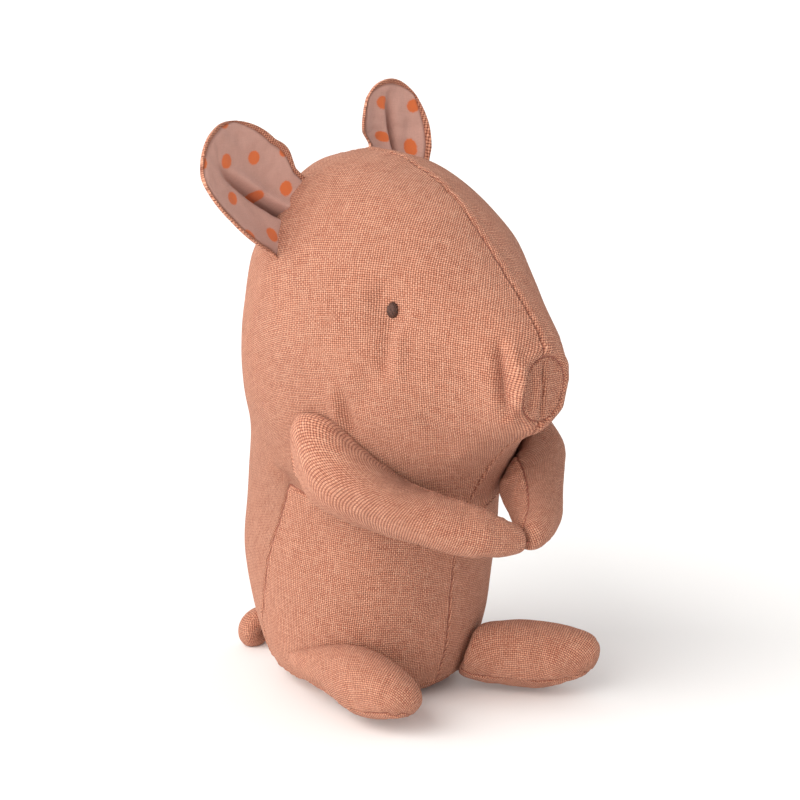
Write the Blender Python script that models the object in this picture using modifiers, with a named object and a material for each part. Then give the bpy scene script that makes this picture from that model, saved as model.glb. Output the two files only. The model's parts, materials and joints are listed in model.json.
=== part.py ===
"""A small sitting pig sewn of linen and stuffed, with its two hands stitched together in front.

Metres, +Z up. The pig faces -Y and its right side is at -X. The origin is the middle of the flat seat.
Run it with: blender --background --python part.py
"""

import math

import bmesh
import bpy
from mathutils import Matrix, Vector
from mathutils.bvhtree import BVHTree

# Cloth and clearances
LINEN = 0.0010  # thickness of the linen
LINING = 0.0008  # thickness of the cotton inside the ears
GAP = 0.0003  # between pieces that touch
RUNNING = 0.0004  # between a moving root and the body

# How finely the soft forms are divided
BODY_POINTS = 14
LIMB_POINTS = 8
TAIL_POINTS = 6
SMOOTHING = 1

# Torso and head
TORSO_RADIUS = 0.0490
NECK_HEIGHT = 0.0930
HEAD_HEIGHT = 0.1120
HEAD_HALF_WIDTH = 0.0525
SNOUT_REACH = 0.0978
SEAT_RISE = 0.0060  # height of the seam round the seat
SEAT_CUT = 0.0005  # how deep the seat is cut flat

# height over the seat, reach forward, reach back and half width of each ring of the torso
TORSO_RING_SHARES = (
    (0.00, 0.46, 0.44, 0.44),
    (0.00, 0.70, 0.68, 0.70),
    (0.10, 0.88, 0.84, 0.86),
    (0.32, 0.98, 0.96, 0.95),
    (0.55, 1.00, 0.99, 1.01),
    (0.75, 1.08, 0.97, 1.00),
)
# for each ring of the head: how far forward and how high its crown lies, then its throat, and its half width
HEAD_RING_SHARES = (
    (-0.48, 0.00, 0.53, -0.19, 0.93),
    (-0.50, 0.20, 0.58, -0.13, 1.00),
    (-0.51, 0.55, 0.62, -0.08, 1.01),
    (-0.42, 0.90, 0.66, -0.03, 0.99),
    (-0.02, 1.04, 0.70, 0.02, 0.90),
    (0.37, 0.96, 0.74, 0.06, 0.71),
    (0.62, 0.80, 0.79, 0.11, 0.50),
    (0.83, 0.61, 0.87, 0.15, 0.38),
    (0.96, 0.49, 0.92, 0.18, 0.32),
    (0.95, 0.43, 0.93, 0.22, 0.22),
    (0.95, 0.34, 0.945, 0.32, 0.03),
)

# Seams between the panels of the body
SIDE_SEAM_FORWARD = 0.0100  # how far forward the side seam starts under the arm
SIDE_SEAM_LEAN = 20.0  # degrees that the side seam leans back as it goes down
THROAT_SEAM_DROP = 0.0080  # how far the seam under the cheeks lies below the neck
THROAT_SEAM_TILT = 14.0  # degrees that it falls towards the front

# Eyes: a knot of thread in a dimple
EYE_FORWARD = 0.0506
EYE_RISE = 0.0621  # over the neck
EYE_HALF_LENGTH = 0.0031
EYE_HALF_WIDTH = 0.0021
EYE_HALF_DEPTH = 0.0012
EYE_POINTS = 10
DIMPLE_DEPTH = 0.0030
DIMPLE_RADIUS = 0.0090

# Arms: a curve from the shoulder round to the hand, by its four control points
SHOULDER_OUT = 0.0480
SHOULDER_FORWARD = 0.0120
SHOULDER_RISE = 0.0095  # over the neck
RIGHT_ARM_BOW_OUT = 0.0390
LEFT_ARM_BOW_OUT = 0.0260
ARM_BOW_FORWARD = 0.0500
ARM_BOW_RISE = 0.0000
WRIST_OUT = 0.0220
WRIST_FORWARD = 0.0835
WRIST_DROP = 0.0205
HAND_FORWARD = 0.0865
HAND_DROP = 0.0210
HAND_PRESS = 0.0040  # how far each hand is flattened against the other
HAND_STITCH_FORWARD = 0.0836
HAND_STITCH_DROP = 0.0196
HAND_STITCH_HALF_WIDTH = 0.0030
HAND_STITCH_HALF_HEIGHT = 0.0033
STITCH_POINTS = 12
ARM_RADIUS = 0.0148
ARM_RINGS = 7
ARM_RADIUS_SHARES = (
    (0.0, 0.90),
    (0.12, 1.25),
    (0.3, 1.22),
    (0.5, 0.92),
    (0.62, 0.82),
    (0.8, 0.66),
    (0.94, 0.52),
    (1.0, 0.30),
)
ARM_SEAM_SHARE = 0.35  # how far the seams along an arm lie on its inner side, in radii
ARMS_DOWN = 14.0  # degrees that the arms can be pushed down

# Legs
LEG_LENGTH = 0.0760
LEG_RADIUS = 0.0143
LEG_RINGS = 6
LEG_RADIUS_SHARES = (
    (0.0, 0.30),
    (0.08, 0.55),
    (0.25, 0.80),
    (0.6, 1.04),
    (0.82, 1.00),
    (0.94, 0.80),
    (1.0, 0.42),
)
LEG_REST_SHARE = 1.00  # height of a leg's middle line over the floor, in radii
LEG_CLEARANCE = 0.0003
LEG_SEAM_SHARE = 0.35  # how far the seams along a leg lie under its middle line, in radii
HIP_SHARES = {"right": (0.71, -0.20), "left": (0.02, 0.37)}  # out and forward
HIP_PIVOT_SHARES = {"right": 0.05, "left": 0.30}  # where along a leg its joint lies
LEG_SPLAY = {"right": 2.0, "left": 38.0}  # degrees out from straight ahead
LEG_SWING = {"right": (0.0, 35.0), "left": (-20.0, 20.0)}  # degrees outwards

# Ears
EAR_LENGTH = 0.0415
EAR_HALF_WIDTH = 0.0190
EAR_CUP = 0.0060  # how deep the ear is hollowed along its length
EAR_COLUMNS = 4
EAR_ROWS = 4
EAR_WIDTH_SHARES = ((0.0, 0.92), (0.3, 1.02), (0.6, 1.0), (0.85, 0.76), (1.0, 0.38))
LINING_SHARE = 0.94  # the linen stands past the lining all round
# ends of the seam at an ear's base (out, forward, height on the head), upper end first
EAR_BASE_SHARES = {
    "right": ((0.50, -0.20, 0.93), (0.87, 0.0, 0.68)),
    "left": ((0.12, -0.22, 0.99), (0.68, -0.10, 0.84)),
}
# which way an ear points: out, forward, up
EAR_POINT_SHARES = {"right": (0.70, -0.15, 0.70), "left": (0.05, -0.15, 0.99)}
EAR_SIZE_SHARES = {"right": (1.0, 1.0), "left": (0.72, 0.78)}  # length and width: the left one is folded in
EAR_LEAN_SHARES = {"right": 0.0, "left": -0.25}  # how far the tip lies to one side, outwards if above 0
EAR_TURN_SHARE = 0.4  # how far up an ear its width turns from the line of the seam to square
EAR_CUP_START_SHARE = 0.3
EAR_ROOT_SHARE = 0.18  # how far an ear runs on into the head before it is cut to fit
EAR_FOLD = 20.0  # degrees that an ear folds each way

# Tail
TAIL_RADIUS = 0.0041
TAIL_RADIUS_SHARES = ((0.0, 1.0), (0.7, 1.0), (1.0, 0.55))
TAIL_RISE = 0.0150  # of its root over the seat
TAIL_ASIDE = 0.0160  # from its root to the middle of its curl
TAIL_CURL_BACK = 0.0065
TAIL_CURL_LIFT = -0.0055
TAIL_CURL_RADIUS = 0.0050
TAIL_CURL_PITCH = 0.0075  # how far back the curl goes in its turn
TAIL_CURL_START = 50.0  # degrees, from straight aside towards up
TAIL_CURL_TURN = 330.0
TAIL_STEPS = 9
TAIL_BEND = 8.0  # degrees that the tail bends each way

SIDES = {"right": -1.0, "left": 1.0}


def clear_scene():
    for obj in list(bpy.data.objects):
        bpy.data.objects.remove(obj, do_unlink=True)


def make_collection(name):
    collection = bpy.data.collections.new(name)
    bpy.context.scene.collection.children.link(collection)
    return collection


def cloth(name, colour, roughness):
    """A matt cloth of one colour."""
    material = bpy.data.materials.new(name)
    material.use_nodes = True
    shader = material.node_tree.nodes["Principled BSDF"]
    shader.inputs["Base Color"].default_value = (*colour, 1.0)
    shader.inputs["Roughness"].default_value = roughness
    shader.inputs["Metallic"].default_value = 0.0
    return material


def evaluated_mesh(obj):
    bpy.context.view_layer.update()
    graph = bpy.context.evaluated_depsgraph_get()
    return bpy.data.meshes.new_from_object(obj.evaluated_get(graph))


def add_piece(name, mesh, collection, material):
    obj = bpy.data.objects.new(name, mesh)
    collection.objects.link(obj)
    mesh.materials.clear()
    mesh.materials.append(material)
    for face in mesh.polygons:
        face.material_index = 0
    mesh.shade_smooth()
    return obj


def add_guide(name, mesh, collection):
    obj = bpy.data.objects.new(name, mesh)
    collection.objects.link(obj)
    obj.hide_render = True
    obj.display_type = "WIRE"
    return obj


def add_solidify(obj, thickness, side):
    """Gives a patch its thickness, on the outer side (1) or the inner side (-1) of its surface."""
    shell = obj.modifiers.new("Thickness", "SOLIDIFY")
    shell.thickness = thickness
    shell.offset = side
    shell.use_even_offset = False


def add_cuts(obj, cutters):
    for cutter in cutters:
        cut = obj.modifiers.new("Cut", "BOOLEAN")
        cut.operation = "DIFFERENCE"
        cut.object = cutter


def share_at(table, place):
    """The value of a table of (place, value) at this place, on straight lines between its points."""
    for (low, low_value), (high, high_value) in zip(table, table[1:]):
        if place <= high:
            return low_value + (high_value - low_value) * (place - low) / (high - low)
    return table[-1][1]


def mesh_of(bm, name):
    mesh = bpy.data.meshes.new(name)
    bm.to_mesh(mesh)
    bm.free()
    return mesh


def ellipse_place(centre, across, along):
    """The matrix that turns a unit circle into the ellipse with these two half axes."""
    normal = across.cross(along).normalized()
    place = Matrix((across, along, normal)).transposed().to_4x4()
    place.translation = centre
    return place


def loft(name, places, points):
    """A closed cage through a row of rings. The faces past its last but one ring have material index 1."""
    bm = bmesh.new()
    rings = []
    for place in places:
        made = bmesh.ops.create_circle(bm, segments=points, radius=1.0, matrix=place)
        rings.append([edge for edge in bm.edges if edge.verts[0] in set(made["verts"])])
    bmesh.ops.contextual_create(bm, geom=rings[0])
    last = bmesh.ops.contextual_create(bm, geom=rings[-1])["faces"]
    for lower, upper in zip(rings, rings[1:]):
        made = bmesh.ops.bridge_loops(bm, edges=lower + upper)["faces"]
    for face in last + made:
        face.material_index = 1
    bmesh.ops.recalc_face_normals(bm, faces=bm.faces)
    return mesh_of(bm, name)


def smooth_form(name, cage, guides):
    """The smooth surface of a cage, which stays in the file as a guide."""
    guide = add_guide(name, cage, guides)
    smooth = guide.modifiers.new("Smooth", "SUBSURF")
    smooth.levels = SMOOTHING
    smooth.render_levels = SMOOTHING
    return evaluated_mesh(guide)


def in_triangles(mesh):
    """Divides every face the same way for all that is made from this form."""
    bm = bmesh.new()
    bm.from_mesh(mesh)
    bmesh.ops.triangulate(bm, faces=bm.faces)
    bm.to_mesh(mesh)
    bm.free()
    return mesh


def grown(mesh, distance, name):
    """A copy of a closed form with its surface moved out by this distance, or in if it is negative."""
    bm = bmesh.new()
    bm.from_mesh(mesh)
    moves = [(vert, vert.normal * vert.calc_shell_factor()) for vert in bm.verts]
    for vert, move in moves:
        vert.co += move * distance
    return mesh_of(bm, name)


def cloth_of(form):
    """The surface of a form, which keeps at each point the way to the inner side of its cloth."""
    bm = bmesh.new()
    bm.from_mesh(form)
    inwards = bm.verts.layers.float_vector.new("inwards")
    for vert in bm.verts:
        vert[inwards] = -vert.normal * vert.calc_shell_factor()
    return bm


def sewn_piece(bm, name):
    """Gives a part of a form's surface the thickness of the linen."""
    inwards = bm.verts.layers.float_vector["inwards"]
    made = bmesh.ops.extrude_face_region(bm, geom=bm.faces[:], use_keep_orig=True)
    for item in made["geom"]:
        if isinstance(item, bmesh.types.BMVert):
            item.co += item[inwards] * LINEN
    bmesh.ops.recalc_face_normals(bm, faces=bm.faces)
    return mesh_of(bm, name)


def bisect(bm, point, normal, fill=False):
    """Takes away what lies on the side that the normal points to."""
    geom = bm.verts[:] + bm.edges[:] + bm.faces[:]
    cut = bmesh.ops.bisect_plane(bm, geom=geom, plane_co=point, plane_no=normal, clear_outer=True)
    if fill:
        edges = [item for item in cut["geom_cut"] if isinstance(item, bmesh.types.BMEdge)]
        bmesh.ops.contextual_create(bm, geom=edges)


def body_cage():
    places = []
    for rise, forward, back, width in TORSO_RING_SHARES:
        height = rise * NECK_HEIGHT - (SEAT_CUT if rise == 0 else 0)
        rear = Vector((0.0, back * TORSO_RADIUS, height))
        front = Vector((0.0, -forward * TORSO_RADIUS, height))
        across = Vector((width * TORSO_RADIUS, 0.0, 0.0))
        places.append(ellipse_place((rear + front) / 2, across, (rear - front) / 2))
    for crown_forward, crown_rise, throat_forward, throat_rise, width in HEAD_RING_SHARES:
        crown = Vector((0.0, -crown_forward * SNOUT_REACH, NECK_HEIGHT + crown_rise * HEAD_HEIGHT))
        throat = Vector((0.0, -throat_forward * SNOUT_REACH, NECK_HEIGHT + throat_rise * HEAD_HEIGHT))
        across = Vector((width * HEAD_HALF_WIDTH, 0.0, 0.0))
        places.append(ellipse_place((crown + throat) / 2, across, (crown - throat) / 2))
    return loft("body_cage", places, BODY_POINTS)


def stood_flat(form):
    """Cuts the form flat where it stands on the floor."""
    bm = bmesh.new()
    bm.from_mesh(form)
    bisect(bm, Vector(), Vector((0.0, 0.0, -1.0)), fill=True)
    bmesh.ops.recalc_face_normals(bm, faces=bm.faces)
    return mesh_of(bm, "body_form")


def surface_point(form, start, direction):
    """Where a line from outside first meets the form, and the surface's normal there."""
    bm = bmesh.new()
    bm.from_mesh(form)
    point, normal, _, _ = BVHTree.FromBMesh(bm).ray_cast(start, direction)
    bm.free()
    return point, normal


def eye_seat(form, side):
    start = Vector((side * 2 * HEAD_HALF_WIDTH, -EYE_FORWARD, NECK_HEIGHT + EYE_RISE))
    return surface_point(form, start, Vector((-side, 0.0, 0.0)))


def dimple(form):
    """Presses a dimple into both sides of the head where the eyes are drawn in."""
    seats = [eye_seat(form, side) for side in SIDES.values()]
    for vert in form.vertices:
        for point, normal in seats:
            away = (vert.co - point).length / DIMPLE_RADIUS
            vert.co -= normal * DIMPLE_DEPTH * math.exp(-away * away)
    in_triangles(form)


def side_seam():
    """A point and a normal, which points forward, of the plane of the side seams."""
    point = Vector((0.0, -SIDE_SEAM_FORWARD, NECK_HEIGHT - THROAT_SEAM_DROP))
    lean = math.radians(SIDE_SEAM_LEAN)
    return point, Vector((0.0, -math.cos(lean), -math.sin(lean)))


def throat_seam():
    """A point and a normal, which points down, of the plane of the seam under the cheeks."""
    point = Vector((0.0, -SIDE_SEAM_FORWARD, NECK_HEIGHT - THROAT_SEAM_DROP))
    tilt = math.radians(THROAT_SEAM_TILT)
    return point, Vector((0.0, math.sin(tilt), -math.cos(tilt)))


def panel(form, side, belly):
    """One panel of the body: the head and back of one side, or its half of the belly."""
    seam, forward = side_seam()
    throat, down = throat_seam()
    bm = cloth_of(form)
    bmesh.ops.delete(bm, geom=[face for face in bm.faces if face.material_index], context="FACES")
    bisect(bm, Vector((side * GAP / 2, 0.0, 0.0)), Vector((-side, 0.0, 0.0)))
    bisect(bm, Vector((0.0, 0.0, SEAT_RISE + GAP / 2)), Vector((0.0, 0.0, -1.0)))
    if belly:
        bisect(bm, seam + forward * GAP / 2, -forward)
        bisect(bm, throat + down * GAP / 2, -down)
        return sewn_piece(bm, "belly")
    for point, normal in ((seam - forward * GAP / 2, forward), (throat - down * GAP / 2, down)):
        geom = bm.verts[:] + bm.edges[:] + bm.faces[:]
        bmesh.ops.bisect_plane(bm, geom=geom, plane_co=point, plane_no=normal)
    front = []
    for face in bm.faces:
        centre = face.calc_center_median()
        if (centre - seam).dot(forward) > -GAP / 2 and (centre - throat).dot(down) > -GAP / 2:
            front.append(face)
    bmesh.ops.delete(bm, geom=front, context="FACES")
    return sewn_piece(bm, "side")


def seat(form):
    bm = cloth_of(form)
    bisect(bm, Vector((0.0, 0.0, SEAT_RISE - GAP / 2)), Vector((0.0, 0.0, 1.0)))
    return sewn_piece(bm, "seat")


def disk(form):
    """The round of cloth on the end of the snout, a little smaller than its place."""
    bm = cloth_of(form)
    bmesh.ops.delete(bm, geom=[face for face in bm.faces if not face.material_index], context="FACES")
    centre = sum((vert.co for vert in bm.verts), Vector()) / len(bm.verts)
    for vert in bm.verts:
        if vert.is_boundary:
            vert.co += (centre - vert.co).normalized() * GAP
    return sewn_piece(bm, "disk")


def filling_half(form, upper):
    """The stuffing above or below the neck, with a gap to the cloth round it."""
    bm = bmesh.new()
    bm.from_mesh(grown(form, -LINEN - GAP, "filling"))
    throat, down = throat_seam()
    if upper:
        bisect(bm, throat - down * GAP / 2, down, fill=True)
    else:
        bisect(bm, throat + down * GAP / 2, -down, fill=True)
    return mesh_of(bm, "filling_half")


def make_body(form, parts, linen, fibre, thread):
    for name, side in SIDES.items():
        for kind, belly in (("side", False), ("belly", True)):
            add_piece(f"{name}_{kind}_panel", panel(form, side, belly), parts, linen)
    add_piece("seat_panel", seat(form), parts, linen)
    add_piece("snout_disk", disk(form), parts, linen)
    add_piece("head_filling", filling_half(form, True), parts, fibre)
    add_piece("torso_filling", filling_half(form, False), parts, fibre)
    for name, side in SIDES.items():
        make_eye(f"{name}_eye", form, side, parts, thread)


def make_eye(name, form, side, parts, thread):
    """A flat knot, upright in its dimple."""
    point, normal = eye_seat(form, side)
    across = normal.cross(Vector((0.0, 0.0, 1.0))).normalized()
    upright = across.cross(normal)
    place = Matrix((across, upright, normal)).transposed().to_4x4()
    place.translation = point + normal * (EYE_HALF_DEPTH + GAP)
    place = place @ Matrix.Diagonal((EYE_HALF_WIDTH, EYE_HALF_LENGTH, EYE_HALF_DEPTH, 1.0))
    bm = bmesh.new()
    bmesh.ops.create_uvsphere(bm, u_segments=EYE_POINTS, v_segments=EYE_POINTS // 2, radius=1.0, matrix=place)
    bmesh.ops.recalc_face_normals(bm, faces=bm.faces)
    add_piece(name, mesh_of(bm, name), parts, thread)


def tube_frames(path):
    """For each point of a path, the point, the direction across it and the one up from it, without a twist."""
    frames = []
    across = (path[1] - path[0]).cross(Vector((0.0, 0.0, 1.0)))
    for index, centre in enumerate(path):
        before = path[max(index - 1, 0)]
        after = path[min(index + 1, len(path) - 1)]
        tangent = (after - before).normalized()
        across = (across - tangent * across.dot(tangent)).normalized()
        frames.append((centre, across, across.cross(tangent)))
    return frames


def seam_frames(frames, radius_shares, radius, direction, share):
    """The frames of a limb, moved in one of their directions by a share of the limb's radius there."""
    moved = []
    for frame, place in zip(frames, steps(len(frames))):
        aside = frame[direction] * share * share_at(radius_shares, place) * radius
        moved.append((frame[0] + aside, frame[1], frame[2]))
    return moved


def tube(name, frames, radius_shares, radius, points, guides):
    """A smooth limb with these radii along its frames. Its seams lie midway between rows of points."""
    places = []
    for (centre, across, upward), place in zip(frames, steps(len(frames))):
        size = share_at(radius_shares, place) * radius
        ring = ellipse_place(centre, across * size, upward * size)
        places.append(ring @ Matrix.Rotation(math.pi / points, 4, "Z"))
    return smooth_form(f"{name}_cage", loft(name, places, points), guides)


def steps(count):
    return [index / (count - 1) for index in range(count)]


def bezier(points, place):
    first, second, third, last = points
    rest = 1 - place
    return (
        first * rest**3
        + second * 3 * place * rest**2
        + third * 3 * place**2 * rest
        + last * place**3
    )


def turned_cutters(name, form, pivot, axis, swing, guides):
    """The body with its running clearance, as a moving piece meets it through its swing."""
    cutters = []
    low, high = swing
    stops = sorted({low, (low + high) / 2, high})
    for number, stop in enumerate(stops):
        turn = Matrix.Rotation(math.radians(-stop), 4, axis)
        mesh = grown(form, RUNNING, f"{name}_{number}")
        mesh.transform(Matrix.Translation(pivot) @ turn @ Matrix.Translation(-pivot))
        cutters.append(add_guide(f"{name}_cutter_{number}", mesh, guides))
    return cutters


def pivot_empty(name, pivot, parts):
    empty = bpy.data.objects.new(name, None)
    empty.location = pivot
    parts.objects.link(empty)
    bpy.context.view_layer.update()
    return empty


def hang_on(empty, pieces):
    for piece in pieces:
        piece.parent = empty
        piece.matrix_parent_inverse = empty.matrix_world.inverted()


def beside(frames, place, direction):
    """How far a place lies to one side of a path, and which way that side is."""
    nearest = None
    for first, second in zip(frames, frames[1:]):
        along = second[0] - first[0]
        share = (place - first[0]).dot(along) / along.length_squared
        share = min(max(share, 0.0), 1.0)
        away = place - first[0].lerp(second[0], share)
        if nearest is None or away.length < nearest[0].length:
            nearest = (away, first[direction].lerp(second[direction], share).normalized())
    away, aside = nearest
    return away.dot(aside), aside


def limb_half(form, frames, direction, sign):
    """The cloth of a limb on one side of its seams, drawn back from them by half the gap.

    direction is which one of a frame's two directions points out of the first half.
    """
    bm = cloth_of(form)
    mine, other = [], []
    for face in bm.faces:
        away, _ = beside(frames, face.calc_center_median(), direction)
        (other if away * sign < 0 else mine).append(face)
    seam = {vert for face in mine for vert in face.verts} & {vert for face in other for vert in face.verts}
    for vert in seam:
        vert.co += beside(frames, vert.co, direction)[1] * sign * GAP / 2
    bmesh.ops.delete(bm, geom=other, context="FACES")
    return sewn_piece(bm, "half")


def make_limb(name, form, filling, frames, halves, cutters, parts, linen, fibre):
    """The stuffing and the two panels sewn along a limb. halves gives each panel's name, direction and sign."""
    pieces = [add_piece(f"{name}_filling", filling, parts, fibre)]
    for half, direction, sign in halves:
        pieces.append(add_piece(f"{name}_{half}_panel", limb_half(form, frames, direction, sign), parts, linen))
    for piece in pieces:
        add_cuts(piece, cutters)
    return pieces


def shoulder_height():
    return NECK_HEIGHT + SHOULDER_RISE


def arm_frames(name):
    side = SIDES[name]
    bow_out = {"right": RIGHT_ARM_BOW_OUT, "left": LEFT_ARM_BOW_OUT}[name]
    corners = (
        Vector((side * SHOULDER_OUT, -SHOULDER_FORWARD, shoulder_height())),
        Vector((side * bow_out, -ARM_BOW_FORWARD, NECK_HEIGHT + ARM_BOW_RISE)),
        Vector((side * WRIST_OUT, -WRIST_FORWARD, NECK_HEIGHT - WRIST_DROP)),
        Vector((-side * HAND_PRESS, -HAND_FORWARD, NECK_HEIGHT - HAND_DROP)),
    )
    return tube_frames([bezier(corners, place) for place in steps(ARM_RINGS)])


def pressed_flat(form, side, distance, fill):
    """Cuts an arm off this far from the middle, where its hand is pressed against the other one."""
    bm = bmesh.new()
    bm.from_mesh(form)
    bisect(bm, Vector((side * distance, 0.0, 0.0)), Vector((-side, 0.0, 0.0)), fill)
    bmesh.ops.recalc_face_normals(bm, faces=bm.faces)
    return mesh_of(bm, "pressed")


def make_hand_stitch(parts, thread):
    """The stitching inside the two hands that joins them, between the edges of their panels."""
    centre = Vector((0.0, -HAND_STITCH_FORWARD, NECK_HEIGHT - HAND_STITCH_DROP))
    forwards = Vector((0.0, -HAND_STITCH_HALF_WIDTH, 0.0))
    upwards = Vector((0.0, 0.0, HAND_STITCH_HALF_HEIGHT))
    half = Vector((LINEN + GAP, 0.0, 0.0))
    places = [ellipse_place(centre + half * end, forwards, upwards) for end in (-1, 1)]
    return add_piece("hand_stitch", loft("hand_stitch", places, STITCH_POINTS), parts, thread)


def make_arms(form, parts, guides, linen, fibre, thread):
    pivot = Vector((0.0, -SHOULDER_FORWARD, shoulder_height()))
    cutters = turned_cutters("arms", form, pivot, Vector((1.0, 0.0, 0.0)), (0.0, ARMS_DOWN), guides)
    empty = pivot_empty("arms_pivot", pivot, parts)
    for name, side in SIDES.items():
        frames = arm_frames(name)
        arm = in_triangles(tube(f"{name}_arm", frames, ARM_RADIUS_SHARES, ARM_RADIUS, LIMB_POINTS, guides))
        filling = pressed_flat(grown(arm, -LINEN - GAP, "filling"), side, LINEN + 2 * GAP, True)
        cloth_form = pressed_flat(arm, side, GAP / 2, False)
        halves = (("outer", 1, -side), ("inner", 1, side))
        seams = seam_frames(frames, ARM_RADIUS_SHARES, ARM_RADIUS, 1, side * ARM_SEAM_SHARE)
        pieces = make_limb(f"{name}_arm", cloth_form, filling, seams, halves, cutters, parts, linen, fibre)
        hang_on(empty, pieces)
    hang_on(empty, [make_hand_stitch(parts, thread)])


def along_leg(name, place):
    """A point on the middle line of a leg, which lies level from its hip."""
    out, forward = HIP_SHARES[name]
    splay = math.radians(LEG_SPLAY[name])
    height = LEG_REST_SHARE * LEG_RADIUS + LEG_CLEARANCE
    hip = Vector((SIDES[name] * out * TORSO_RADIUS, -forward * TORSO_RADIUS, height))
    return hip + Vector((SIDES[name] * math.sin(splay), -math.cos(splay), 0.0)) * place * LEG_LENGTH


def make_legs(form, parts, guides, linen, fibre):
    upright = Vector((0.0, 0.0, 1.0))
    for name, side in SIDES.items():
        pivot = along_leg(name, HIP_PIVOT_SHARES[name])
        swing = sorted(side * angle for angle in LEG_SWING[name])
        cutters = turned_cutters(f"{name}_leg", form, pivot, upright, swing, guides)
        frames = tube_frames([along_leg(name, place) for place in steps(LEG_RINGS)])
        leg = in_triangles(tube(f"{name}_leg", frames, LEG_RADIUS_SHARES, LEG_RADIUS, LIMB_POINTS, guides))
        halves = (("top", 2, 1.0), ("sole", 2, -1.0))
        filling = grown(leg, -LINEN - GAP, "filling")
        seams = seam_frames(frames, LEG_RADIUS_SHARES, LEG_RADIUS, 2, -LEG_SEAM_SHARE)
        pieces = make_limb(f"{name}_leg", leg, filling, seams, halves, cutters, parts, linen, fibre)
        hang_on(pivot_empty(f"{name}_leg_pivot", pivot, parts), pieces)


def on_head(shares, side):
    out, forward, rise = shares
    return Vector((side * out * HEAD_HALF_WIDTH, -forward * HEAD_HALF_WIDTH, NECK_HEIGHT + rise * HEAD_HEIGHT))


def ear_sheet(name, width_share, guides):
    """The surface of an ear from its base seam to its tip, hollowed along the middle, and which way it faces."""
    side = SIDES[name]
    upper, lower = (on_head(shares, side) for shares in EAR_BASE_SHARES[name])
    base = (lower - upper).normalized()
    out, forward, up = EAR_POINT_SHARES[name]
    point = Vector((side * out, -forward, up)).normalized()
    reach, breadth = EAR_SIZE_SHARES[name]
    facing = (base.cross(point) * side).normalized()
    square = (point.cross(facing) * side).normalized()
    bm = bmesh.new()
    bmesh.ops.create_grid(bm, x_segments=EAR_COLUMNS, y_segments=EAR_ROWS, size=1.0)
    for vert in bm.verts:
        across = vert.co.x
        along = (vert.co.y + 1) / 2 * (1 + EAR_ROOT_SHARE) - EAR_ROOT_SHARE
        half_width = share_at(EAR_WIDTH_SHARES, along) * EAR_HALF_WIDTH * breadth * width_share
        broadside = base.lerp(square, min(max(along / EAR_TURN_SHARE, 0.0), 1.0)).normalized()
        cupped = EAR_CUP_START_SHARE + (1 - EAR_CUP_START_SHARE) * along
        hollow = EAR_CUP * (across * across - 1) * math.sin(math.pi * cupped)
        leaning = across + EAR_LEAN_SHARES[name] * max(along, 0.0) ** 2
        vert.co = (upper + lower) / 2 + broadside * side * leaning * half_width
        vert.co += point * along * EAR_LENGTH * reach + facing * hollow
    guide = add_guide(f"{name}_ear_sheet", mesh_of(bm, name), guides)
    smooth = guide.modifiers.new("Smooth", "SUBSURF")
    smooth.levels = SMOOTHING
    smooth.render_levels = SMOOTHING
    return evaluated_mesh(guide), facing


def make_ears(form, parts, guides, linen, cotton):
    for name, side in SIDES.items():
        upper, lower = (on_head(shares, side) for shares in EAR_BASE_SHARES[name])
        pivot = (upper + lower) / 2
        axis = (lower - upper).normalized()
        cutters = turned_cutters(f"{name}_ear", form, pivot, axis, (-EAR_FOLD, EAR_FOLD), guides)
        sheet, facing = ear_sheet(name, 1.0, guides)
        sheet.transform(Matrix.Translation(-facing * GAP))
        back = add_piece(f"{name}_ear_back", sheet, parts, linen)
        sheet, facing = ear_sheet(name, LINING_SHARE, guides)
        lining = add_piece(f"{name}_ear_lining", sheet, parts, cotton)
        add_solidify(back, LINEN, -1)
        add_solidify(lining, LINING, 1)
        for piece in (back, lining):
            add_cuts(piece, cutters)
        hang_on(pivot_empty(f"{name}_ear_pivot", pivot, parts), (back, lining))


def tail_form(root, guides):
    """A rolled strip that comes out of the back and makes one curl towards the right side."""
    curl = root + Vector((-TAIL_ASIDE, TAIL_CURL_BACK, TAIL_CURL_LIFT))
    path = [root - Vector((0.0, 2 * TAIL_RADIUS, 0.0)), root + Vector((0.0, TAIL_RADIUS, 0.0))]
    for place in steps(TAIL_STEPS):
        angle = math.radians(TAIL_CURL_START + place * TAIL_CURL_TURN)
        ring = Vector((math.cos(angle), 0.0, math.sin(angle))) * TAIL_CURL_RADIUS
        path.append(curl + ring + Vector((0.0, place * TAIL_CURL_PITCH, 0.0)))
    return tube("tail", tube_frames(path), TAIL_RADIUS_SHARES, TAIL_RADIUS, TAIL_POINTS, guides)


def make_tail(form, parts, guides, linen):
    backwards = Vector((0.0, 1.0, 0.0))
    root, _ = surface_point(form, backwards * 2 * TORSO_RADIUS + Vector((0.0, 0.0, TAIL_RISE)), -backwards)
    tail = add_piece("tail", tail_form(root, guides), parts, linen)
    clearance = RUNNING + TAIL_RADIUS * math.sin(math.radians(TAIL_BEND))
    add_cuts(tail, [add_guide("tail_cutter", grown(form, clearance, "tail_cutter"), guides)])
    hang_on(pivot_empty("tail_pivot", root, parts), [tail])


def main():
    clear_scene()
    parts = make_collection("plush_pig")
    guides = make_collection("guides")
    linen = cloth("linen", (0.58, 0.26, 0.18), 0.9)
    cotton = cloth("cotton", (0.47, 0.29, 0.24), 0.85)
    fibre = cloth("fibre", (0.80, 0.80, 0.78), 1.0)
    thread = cloth("thread", (0.07, 0.02, 0.01), 0.7)
    form = stood_flat(smooth_form("body_cage", body_cage(), guides))
    dimple(form)
    make_body(form, parts, linen, fibre, thread)
    make_arms(form, parts, guides, linen, fibre, thread)
    make_legs(form, parts, guides, linen, fibre)
    make_ears(form, parts, guides, linen, cotton)
    make_tail(form, parts, guides, linen)


main()
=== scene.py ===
import json
import math

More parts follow.
